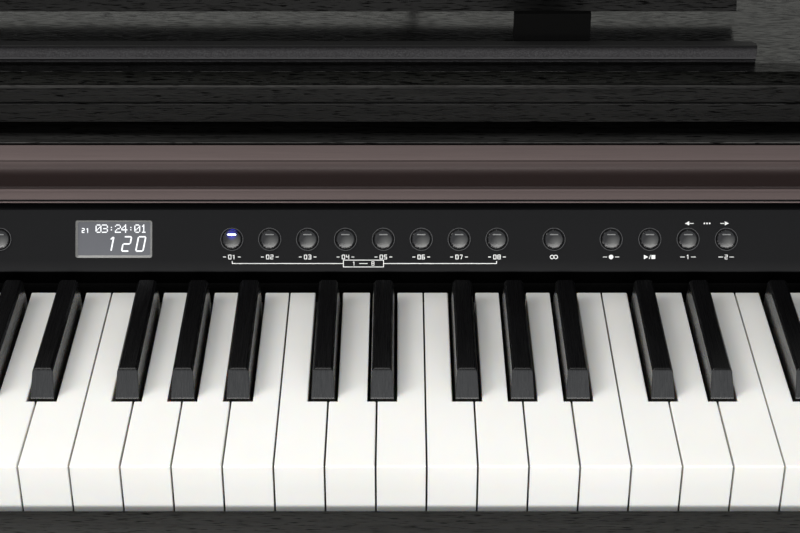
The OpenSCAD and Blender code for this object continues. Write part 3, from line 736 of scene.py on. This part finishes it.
def draw_voice_bracket(bracket):
    """A line from the first voice to the last, with a box in it that says 1 to 8."""
    first, last = button_centre(BUTTONS[0]), button_centre(BUTTONS[VOICES - 1])
    box_x, box_w, box_up, box_h = 132.9, 21.6, 3.9, 3.6
    line = 0.38
    left_end, right_start = box_x - box_w / 2, box_x + box_w / 2
    add_bar(bracket, (first + left_end) / 2, box_up, left_end - first, line, *PRINT)
    add_bar(bracket, (right_start + last) / 2, box_up, last - right_start, line, *PRINT)
    for x in (first + line / 2, last - line / 2):
        add_bar(bracket, x, box_up + line / 2 + 0.55, line, 1.1, *PRINT)
    for side in (-1, 1):
        add_bar(bracket, box_x, box_up + side * box_h / 2, box_w, line, *PRINT)
        add_bar(bracket, box_x + side * (box_w - line) / 2, box_up, line, box_h - line, *PRINT)
    add_number(bracket, "18", box_x, box_up - 0.95, 1.9, 0.34, *PRINT, pitch=10.0)
    add_bar(bracket, box_x, box_up, 4.4, line, *PRINT)


def draw_signs(signs):
    """Signs under the five buttons at the right, and two arrows over the last two."""
    middle = LABEL_MIDDLE
    duo, record, play, track_1, track_2 = (button_centre(name) for name in BUTTONS[8:13])
    for side in (-1, 1):
        add_ring(signs, duo + side * 1.0, middle, 1.15, 0.75, *PRINT)
    add_ring(signs, record, middle, 1.2, 0.0, *PRINT)
    for side in (-1, 1):
        add_bar(signs, record + side * 3.2, middle, 2.2, 0.34, *PRINT)
    add_triangle(signs, play - 1.9, middle, 1.15, 1, *PRINT)
    add_bar(signs, play + 1.9, middle, 2.0, 2.0, *PRINT)
    add_stroke(signs, (play - 0.25, middle - 1.0), (play + 0.45, middle + 1.0), 0.3, *PRINT)
    for centre, figure in ((track_1, "1"), (track_2, "2")):
        add_number(signs, figure, centre, LABEL_UP, LABEL_SIZE, 0.34, *PRINT, pitch=1.75)
        for side in (-1, 1):
            add_bar(signs, centre + side * 2.9, middle, 2.4, 0.34, *PRINT)
    upper = 25.1
    add_triangle(signs, track_1 - 0.4, upper, 1.1, -1, *PRINT)
    add_bar(signs, track_1 + 2.0, upper, 2.2, 0.34, *PRINT)
    for shift in (-1.4, 0, 1.4):
        add_ring(signs, (track_1 + track_2) / 2 + shift, upper, 0.45, 0.0, *PRINT)
    add_triangle(signs, track_2 + 0.4, upper, 1.1, 1, *PRINT)
    add_bar(signs, track_2 - 2.0, upper, 2.2, 0.34, *PRINT)


def draw_volume_scale(dial):
    """Eleven strokes round the knob, over its 270 degrees of turn."""
    centre = Vector((button_centre("power_volume_knob"), KNOB_UP))
    for step in range(11):
        angle = math.radians(225 - 27 * step)
        way = Vector((math.cos(angle), math.sin(angle)))
        add_stroke(dial, tuple(centre + 9.0 * way), tuple(centre + 10.4 * way), 0.4, *PRINT)


def make_rings(matrix):
    """A painted highlight: a lighter grey ring at the outer edge of the raised ring round each button."""
    edge = make_plastic("ring_edge_finish", (0.075, 0.075, 0.077), 0.35, 1500, 0.000003)
    rings = bmesh.new()
    for name in BUTTONS:
        add_ring(rings, button_centre(name), BUTTON_UP, 6.0, 5.8, 0.42, 0.56, steps=48)
    make_piece("button_rings", rings, matrix, "cabinet", edge)


def make_felt_strip():
    """The felt that hangs behind the panel's lower edge and closes the slot over the keys' tails."""
    panel_low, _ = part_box("control_panel")
    keys_low, keys_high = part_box("other_white_keys")
    front = panel_low.y - 3.4 * MM
    back = front + 2.6 * MM
    strip = bmesh.new()
    # Y in metres and height over the keytops in mm
    outline = [(front, -7.2), (back, -7.2), (back, 3.2), (front + 0.9 * MM, 3.2), (front, 2.3)]
    left = [strip.verts.new((keys_low.x, y, keys_high.z + z * MM)) for y, z in outline]
    right = [strip.verts.new((keys_high.x, y, keys_high.z + z * MM)) for y, z in outline]
    strip.faces.new(left)
    strip.faces.new(list(reversed(right)))
    for i in range(len(outline)):
        j = (i + 1) % len(outline)
        strip.faces.new((left[i], right[i], right[j], left[j]))
    bmesh.ops.recalc_face_normals(strip, faces=strip.faces)
    make_piece("key_felt", strip, Matrix.Identity(4), "cabinet", make_felt())


def add_ring(mesh, x, y, outer, inner, low, high, steps=20):
    """A ring, or a disc where inner is 0."""
    circle = [(math.cos(2 * math.pi * i / steps), math.sin(2 * math.pi * i / steps)) for i in range(steps)]
    if inner == 0:
        add_prism(mesh, [(x + outer * c, y + outer * s) for c, s in circle], low, high)
        return
    rings = []
    for radius, height in ((outer, low), (outer, high), (inner, high), (inner, low)):
        rings.append([mesh.verts.new(((x + radius * c) * MM, (y + radius * s) * MM, height * MM)) for c, s in circle])
    for a in range(4):
        b = (a + 1) % 4
        for i in range(steps):
            j = (i + 1) % steps
            mesh.faces.new((rings[a][i], rings[a][j], rings[b][j], rings[b][i]))


def add_triangle(mesh, x, y, size, way, low, high):
    outline = [(x - size, y - size), (x + size, y), (x - size, y + size)]
    if way < 0:
        outline = [(x + size, y + size), (x - size, y), (x + size, y - size)]
    add_prism(mesh, outline, low, high)


# ---- The scene ----

make_camera()
make_studio()
make_floor()
finishes = make_finishes()
dress(finishes)
panel = panel_matrix()
make_display(panel)
make_lamps(panel)
make_prints(panel)
make_rings(panel)
make_felt_strip()
